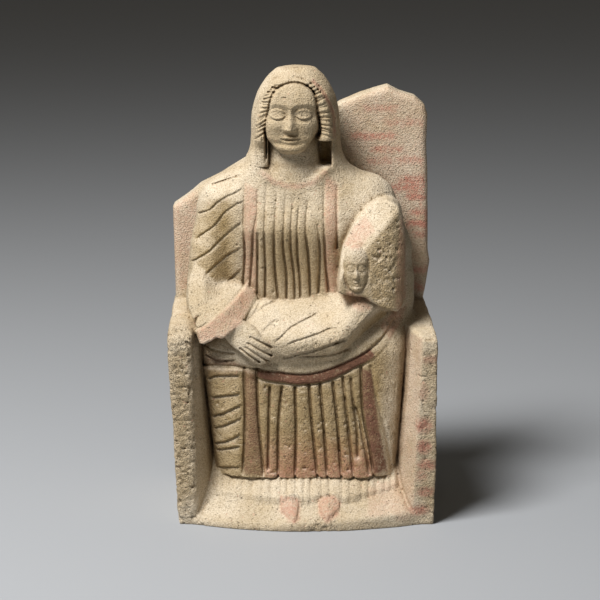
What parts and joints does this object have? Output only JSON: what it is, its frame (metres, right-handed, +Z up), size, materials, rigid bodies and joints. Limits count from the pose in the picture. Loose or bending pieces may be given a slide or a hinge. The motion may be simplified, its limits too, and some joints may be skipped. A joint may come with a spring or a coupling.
{
  "type": "limestone kourotrophos statue",
  "caption": "Votive limestone statue of a veiled woman on a high-backed throne, a swaddled infant in a pointed hood across her lap; stands on its flat underside.",
  "frame": {"origin": "middle of the block's footprint on its flat underside", "axes": "+Z up, the statue faces -Y, +X is to the right of somebody who looks at its front"},
  "size_m": [0.1714, 0.115, 0.29],
  "materials": {
    "limestone": "matt, weathered and pitted, with worn traces of red paint"
  },
  "bodies": {
    "root": {"statue": "limestone"}
  },
  "joints": []
}
